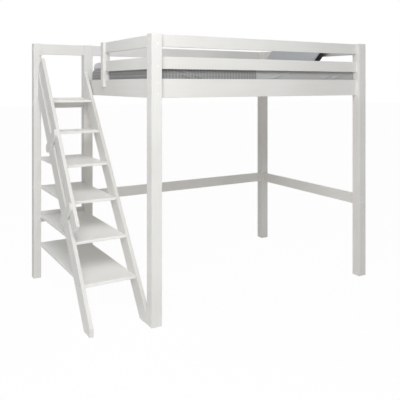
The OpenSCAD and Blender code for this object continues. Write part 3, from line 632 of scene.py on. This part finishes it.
def in_gap(height):
    """1 where a fold shows between the rail and the guard, down to 0 behind either."""
    return clamped(min(height - GAP_LOW, GAP_HIGH - height) / GAP_MARGIN)


def rumple(kind, x, y, seed=0.0):
    """Height of a rumple at a place; another seed gives another pattern of its kind."""
    first = x * kind.first[0] + y * kind.first[1]
    second = x * kind.second[0] + y * kind.second[1]
    return kind.tall * noise.noise(Vector((first, second, seed + kind.seed)))


def side_fold(place):
    """Soft slanting folds in cloth pulled down over the mattress's sides."""
    along = place[X] + SIDE_SLANT * place[Z]
    return rumple(SIDE_BROAD, along, place[Y]) + rumple(SIDE_FINE, along, place[Y])


def push_out(piece, amount):
    """Moves each vertex along its normal by amount(place, normal)."""
    normals = [n.vector.copy() for n in piece.data.vertex_normals]
    for vertex, normal in zip(piece.data.vertices, normals):
        vertex.co += normal * amount(vertex.co, normal)


def simulate(piece, pressure, cap, limits=None):
    """Swells a piece as cloth under pressure, and keeps the result within cap and limits."""
    rest = [vertex.co.copy() for vertex in piece.data.vertices]
    cloth = piece.modifiers.new("swell", "CLOTH")
    settings = cloth.settings
    settings.quality = CLOTH_QUALITY
    settings.mass = CLOTH_MASS
    settings.tension_stiffness = CLOTH_STRETCH
    settings.compression_stiffness = CLOTH_STRETCH
    settings.shear_stiffness = CLOTH_SHEAR
    settings.bending_stiffness = CLOTH_BEND
    settings.use_pressure = True
    settings.uniform_pressure_force = pressure
    settings.effector_weights.gravity = 0.0
    scene = bpy.context.scene
    for step in range(1, SWELL_FRAMES + 1):
        scene.frame_set(step)
    shape = piece.evaluated_get(bpy.context.evaluated_depsgraph_get())
    moved = [vertex.co.copy() for vertex in shape.data.vertices]
    piece.modifiers.remove(cloth)
    scene.frame_set(1)
    for vertex, start, end in zip(piece.data.vertices, rest, moved):
        shift = end - start
        if shift.length > cap:
            shift *= cap / shift.length
        place = start + shift
        if limits:
            low, high = limits
            place = Vector([min(max(place[a], low[a]), high[a]) for a in range(3)])
        vertex.co = place


def finish_soft(piece, body, slot, *nodes, levels=1):
    """Smooths a soft piece, gives it to its body and hides the solids it replaces; slot is not
    used.
    """
    if levels:
        smooth = piece.modifiers.new("smooth", "SUBSURF")
        smooth.levels = levels
        smooth.render_levels = levels
    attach(piece, body)
    if nodes:
        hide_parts(*nodes)


def tube_along(name, points, radius, material):
    """A closed round cord of stitched edge along points."""
    curve = bpy.data.curves.new(name, "CURVE")
    curve.dimensions = "3D"
    curve.bevel_depth = radius
    curve.bevel_resolution = 2
    spline = curve.splines.new("POLY")
    spline.points.add(len(points) - 1)
    for target, point in zip(spline.points, points):
        target.co = (*point, 1.0)
    spline.use_cyclic_u = True
    curve.materials.append(material)
    piece = bpy.data.objects.new(name, curve)
    bpy.context.scene.collection.objects.link(piece)
    return piece


# bedding

def make_mattress(material):
    """Mattress in its fitted sheet: a soft-edged block with a crowned top."""
    low, high = narrowed(*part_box("mattress"), SIDE_INSET)
    blanket_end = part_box("blanket")[HIGH][X]
    points, quads = box_skin(low, high, net_step(MATTRESS_STEPS))
    piece = mesh_piece("mattress_sheet", points, quads, low, high, material)
    for vertex in piece.data.vertices:
        place = beside_posts(bed_block(vertex.co, low, high))
        place[X] -= end_bulge(place, low)
        vertex.co = place
    piece.data.update()

    def folds(place, normal):
        """How far the sheet's folds stand out."""
        if normal[Z] < FACING_DOWN:
            return 0.0
        upright = 1.0 - abs(normal[Z])
        rise = math.sin(math.pi * clamped(share_of(place[Z], low[Z], high[Z])))
        slant = place[X] - FOLD_SLANT * (place[Z] - SHEET_FOLD_HEIGHT)
        pulls = sum(tuck(at - slant, SHEET_FOLD_WIDE) for at in SHEET_FOLDS)
        pulls *= FOLD_TALL * in_gap(place[Z])
        bare = clamped((place[X] - blanket_end) / SHEET_TAPER)
        sides = bare * (SHEET_SIDE_SHARE * rise * side_fold(place) + pulls)
        tops = rumple(TOP_BROAD, place[X], place[Y])
        tops += rumple(TOP_SLANTED, place[X], place[Y])
        ends = clamped((POST_SIDE - place[X]) / SHEET_TAPER)
        return ends * upright * sides + max(normal[Z], 0.0) * (tops - TOP_SINK)

    push_out(piece, folds)
    for vertex in piece.data.vertices:
        vertex.co = beside_posts(vertex.co)
    finish_soft(piece, "mattress_set", "sheet_fabric", "mattress", levels=0)


def make_blanket(material):
    """Check blanket over the foot end, its sides pulled down beside the mattress."""
    low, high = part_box("blanket")
    base_low, base_high = narrowed(*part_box("mattress"), SIDE_INSET - BLANKET_PROUD)
    low = (low[X] + BLANKET_EASE, base_low[Y], low[Z])
    high = (high[X] + BLANKET_SPREAD, base_high[Y],
            base_high[Z] + BLANKET_LIFT + BLANKET_EASE)
    whole_low = (low[X], low[Y], base_low[Z])
    whole_high = (base_high[X] + BLANKET_EASE, high[Y], high[Z])
    points, quads = box_skin(low, high, net_step(BLANKET_STEPS),
                             leave_out=((Z, False), (X, True)))
    piece = mesh_piece("blanket_check", points, quads, low, high, material)
    for vertex in piece.data.vertices:
        place = bed_block(vertex.co, whole_low, whole_high)
        place[X] -= end_bulge(place, low)
        vertex.co = place
    piece.data.update()

    def folds(place, normal):
        """How far the blanket's folds stand out."""
        upright = 1.0 - abs(normal[Z])
        slant = place[X] + FOLD_SLANT * (place[Z] - base_high[Z])
        ridges = sum(tuck(slant - at, BLANKET_FOLD_WIDE) for at in BLANKET_FOLDS)
        ridges *= FOLD_TALL * in_gap(place[Z])
        sides = ridges + abs(side_fold(place)) * BLANKET_SIDE_SHARE
        return upright * sides + max(normal[Z], 0.0) * BLANKET_TOP_RISE

    push_out(piece, folds)
    thick = piece.modifiers.new("thick", "SOLIDIFY")
    thick.thickness = BLANKET_THICK * BLANKET_VISIBLE_SHARE
    thick.offset = -1.0
    finish_soft(piece, "mattress_set", "check_fabric", "blanket", levels=0)


def make_duvet(material):
    """A soft duvet lying over the foot end and the middle of the bed."""
    low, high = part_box("duvet")
    bed_low, bed_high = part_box("mattress")
    start_low = (low[X] - DUVET_SPREAD, low[Y] - DUVET_SPREAD, low[Z])
    start_high = (high[X], high[Y] + DUVET_SPREAD, high[Z] + DUVET_SPREAD)
    round_low = (start_low[X], start_low[Y], low[Z] - max(DUVET_EDGES))
    points, quads = box_skin(start_low, start_high, net_step(DUVET_STEPS))
    piece = mesh_piece("duvet_soft", points, quads, start_low, start_high, material)
    for vertex in piece.data.vertices:
        place = bed_corners(vertex.co, round_low, start_high, DUVET_EDGES, DUVET_CORNERS)
        place[Z] -= bed_sag(place, bed_low, bed_high)
        place[X] -= end_bulge(place, start_low)
        vertex.co = place
    piece.data.update()

    def folds(place, normal):
        """How far the duvet's top stands out, or lies in at a crease."""
        if normal[Z] < FACING_UP:
            return 0.0
        swell = rumple(DUVET_BROAD, place[X], place[Y])
        swell += rumple(DUVET_SLANTED, place[X], place[Y])
        crease = 1.0 - abs(rumple(DUVET_CREASE, place[X], place[Y]))
        return swell - CREASE_TALL * crease ** CREASE_SHARPNESS

    push_out(piece, folds)
    cage_low = (start_low[X] - BULGE, start_low[Y], low[Z] - END_SAG - SIDE_SAG)
    cage_high = (high[X], start_high[Y], high[Z] + DUVET_RISE)
    simulate(piece, DUVET_PRESSURE, DUVET_SWELL, limits=(cage_low, cage_high))
    finish_soft(piece, "duvet_body", "duvet_fabric", "duvet")


def edge_pull(across, along, share):
    """What a pillow's edge is multiplied by to draw it in between its corners."""
    return 1.0 - share * (1.0 - along * along) ** 2 * abs(across) ** 3


def pillow_net(step):
    """A pillow lying flat, long along Y and wide along X, with its corners drawn out: its
    points, its quads with their sides, and the points round its rim in order."""
    rows = round(PILLOW_WIDE / step)
    columns = round(PILLOW_LONG / step)
    points = []
    quads = []
    index = {}

    def vertex_at(i, j, face):
        """The number of the point at row i and column j; both faces share the rim."""
        on_rim = i in (0, rows) or j in (0, columns)
        key = (i, j, 0 if on_rim else face)
        if key not in index:
            u, v = 2.0 * i / rows - 1.0, 2.0 * j / columns - 1.0
            x = u * PILLOW_WIDE / 2.0 * edge_pull(u, v, PILLOW_PULL_WIDE)
            y = v * PILLOW_LONG / 2.0 * edge_pull(v, u, PILLOW_PULL_LONG)
            fullness = (1.0 - abs(u) ** PILLOW_FULL_WIDE) * (1.0 - abs(v) ** PILLOW_FULL_LONG)
            rise = max(0.0, fullness) ** PILLOW_FULL
            index[key] = len(points)
            points.append(Vector((x, y, 0.0 if on_rim else face * rise * PILLOW_THICK / 2.0)))
        return index[key]

    for face in (1, -1):
        for i in range(rows):
            for j in range(columns):
                ring = [vertex_at(i, j, face), vertex_at(i + 1, j, face),
                        vertex_at(i + 1, j + 1, face), vertex_at(i, j + 1, face)]
                quads.append((ring if face > 0 else ring[::-1], (Z, face > 0)))
    rim = ([index[(i, 0, 0)] for i in range(rows)]
           + [index[(rows, j, 0)] for j in range(columns)]
           + [index[(i, columns, 0)] for i in range(rows, 0, -1)]
           + [index[(0, j, 0)] for j in range(columns, 0, -1)])
    return points, quads, rim


def make_pillow(node, name, body, slot, material, seed):
    """A pillow standing on its long edge and leaning back, with a corded seam."""
    low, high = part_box(node)
    middle = (Vector(low) + Vector(high)) / 2.0
    flat_high = (PILLOW_WIDE / 2.0, PILLOW_LONG / 2.0, PILLOW_THICK / 2.0)
    flat_low = tuple(-half for half in flat_high)
    points, quads, rim = pillow_net(net_step(PILLOW_STEPS))
    piece = mesh_piece(name, points, quads, flat_low, flat_high, material)

    def folds(place, normal):
        """How far the pillow's rumples and the pinches along its seam stand out."""
        to_end = 1.0 - abs(2.0 * place[Y] / PILLOW_LONG)
        near_edge = hill(abs(place[X]), PILLOW_WIDE / 2.0, PINCH_WIDE)
        pinch = rumple(PILLOW_PINCH, place[X], place[Y], seed) * near_edge
        pinch *= min(1.0, to_end * PINCH_FADE)
        return rumple(PILLOW_BROAD, place[X], place[Y], seed) + pinch

    push_out(piece, folds)
    simulate(piece, PILLOW_PRESSURE, PILLOW_SWELL)
    turn = Euler((0.0, -PILLOW_TILT, 0.0)).to_matrix()
    for vertex in piece.data.vertices:
        vertex.co = turn @ vertex.co + middle
    piece.data.update()
    seam_points = [piece.data.vertices[i].co.copy() for i in rim]
    seam = tube_along(name + "_seam", seam_points, SEAM_RADIUS, material)
    finish_soft(piece, body, slot, node)
    finish_soft(seam, body, slot, levels=0)


# dressing the frame

ALONG_X = ["side_rail_front", "side_rail_back", "guard_front_lower", "guard_front_upper",
           "top_rail_back", "top_rail_stair", "stretcher_back", "stair_rail_high",
           "stair_rail_low"]
ALONG_Y = ["end_rail_left", "end_rail_right", "guard_end_lower", "guard_end_upper",
           "top_rail_right", "stretcher_right"]
ALONG_Z = ["post_front_left", "post_front_right", "post_back_left", "post_back_right",
           "post_stair", "entry_upright"]
TREAD_COUNT = 6
TREADS = [f"tread_{n}" for n in range(1, TREAD_COUNT + 1)]
ALONG_SLOPE = ["stringer_left", "stringer_right", "handrail"]
ACROSS_SLOPE = ["bracket_high", "bracket_low"]
PINE_ALONG_X = ["ledge_front", "ledge_back", "centre_beam"]
PINE_ALONG_Y = ["slats", "dowels"]
STEEL_NODES = ["beam_shoes", "post_bolts", "stair_bolts_short", "through_studs",
               "tread_screws", "bracket_screws", "tongue_screws", "ledge_screws",
               "shoe_screws"]


def dress(nodes, material):
    """Gives each of the frame's nodes one material."""
    for name in nodes:
        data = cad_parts[name].data
        data.materials.clear()
        data.materials.append(material)


dress(ALONG_X, paint("paint_along_x", X))
dress(ALONG_Y, paint("paint_along_y", Y))
dress(ALONG_Z, paint("paint_along_z", Z))
# the tread paint is worn, and lighter as painted light
dress(TREADS, paint("paint_tread_lit", X, scuffed_and_lit=True))
dress(ALONG_SLOPE, paint("paint_along_slope", Z, SLOPE_TURN))
dress(ACROSS_SLOPE, paint("paint_across_slope", Y, SLOPE_TURN))
dress(PINE_ALONG_X, pine("pine_along_x", X))
dress(PINE_ALONG_Y, pine("pine_along_y", Y))
dress(STEEL_NODES, metal("zinc_steel", ZINC, ZINC_ROUGH, ZINC_CLOUDS))
dress(["cross_nuts"], metal("nut_brass", BRASS, BRASS_ROUGH, BRASS_CLOUDS))
dress(["cover_caps"], plastic("cap_plastic", CAP_WHITE))
dress(["slat_tapes"], fabric("tape_fabric", TAPE_WHITE, object_place))

make_mattress(fabric("sheet_cloth", SHEET_GREY))
make_blanket(check_fabric("check_cloth"))
make_duvet(fabric("duvet_cloth", DUVET_LILAC))
make_pillow("pillow_front", "pillow_blue", "pillow_front_body", "pillow_blue_fabric",
            fabric("blue_cloth", PILLOW_BLUE), seed=1.0)
make_pillow("pillow_back", "pillow_dark", "pillow_back_body", "pillow_dark_fabric",
            fabric("dark_cloth", PILLOW_DARK), seed=21.0)


# stage, light and camera

def make_floor():
    """A wide pale floor that shows nearly as bright as the sky, so that it fades into it."""
    material, tree, shader = new_material("floor_pale", roughness=0.9)
    tone = noise_of(tree, object_place(tree), FLOOR_CLOUDS, detail=2.0)
    pale = ramp_of(tree, tone, (0.3, FLOOR_DARK), (0.7, FLOOR_LIGHT))
    feed(tree, shader.inputs["Base Color"], pale)
    glow = add_node(tree, "ShaderNodeEmission", Strength=SKY_SEEN)
    ray = add_node(tree, "ShaderNodeLightPath")
    share = math_of(tree, "MULTIPLY", ray.outputs["Is Camera Ray"], FLOOR_GLOW)
    mix = add_node(tree, "ShaderNodeMixShader")
    for socket, value in zip(mix.inputs, (share, shader.outputs["BSDF"],
                                          glow.outputs["Emission"])):
        feed(tree, socket, value)
    feed(tree, tree.nodes["Material Output"].inputs["Surface"], mix.outputs["Shader"])
    mesh = bpy.data.meshes.new("floor")
    corners = [(-1, -1), (1, -1), (1, 1), (-1, 1)]
    mesh.from_pydata([(x * FLOOR_REACH, y * FLOOR_REACH, 0.0) for x, y in corners], [],
                     [range(len(corners))])
    mesh.materials.append(material)
    floor = bpy.data.objects.new("floor", mesh)
    bpy.context.scene.collection.objects.link(floor)


def make_sky():
    """A plain white sky that lights the object less than it shows."""
    world = bpy.data.worlds.new("studio")
    bpy.context.scene.world = world
    world.use_nodes = True
    tree = world.node_tree
    sky = tree.nodes["Background"]
    ray = add_node(tree, "ShaderNodeLightPath")
    seen = math_of(tree, "MAXIMUM", ray.outputs["Is Camera Ray"], ray.outputs["Is Glossy Ray"])
    strength = math_of(tree, "MULTIPLY_ADD", seen, SKY_SEEN - SKY_LIGHT, SKY_LIGHT)
    feed(tree, sky.inputs["Strength"], strength)
    feed(tree, sky.inputs["Color"], WHITE)


def make_lamp(name, place, power):
    """A large soft lamp aimed at the bed."""
    data = bpy.data.lights.new(name, "AREA")
    data.shape = "DISK"
    data.size = LAMP_SIZE
    data.energy = power
    lamp = bpy.data.objects.new(name, data)
    lamp.location = place
    aim = Vector(LAMP_AIM) - Vector(place)
    lamp.rotation_euler = aim.to_track_quat("-Z", "Y").to_euler()
    bpy.context.scene.collection.objects.link(lamp)


def make_camera():
    """The photograph's own camera: level, its frame shifted down."""
    data = bpy.data.cameras.new("camera")
    data.lens = CAMERA_LENS
    data.sensor_width = CAMERA_SENSOR
    data.shift_y = CAMERA_SHIFT_UP
    camera = bpy.data.objects.new("camera", data)
    camera.location = CAMERA_PLACE
    camera.rotation_euler = (math.pi / 2.0, 0.0, CAMERA_TURN)
    bpy.context.scene.collection.objects.link(camera)
    bpy.context.scene.camera = camera


make_floor()
make_sky()
for lamp in LAMPS:
    make_lamp(*lamp)
make_camera()
bpy.context.scene.view_settings.view_transform = "Standard"
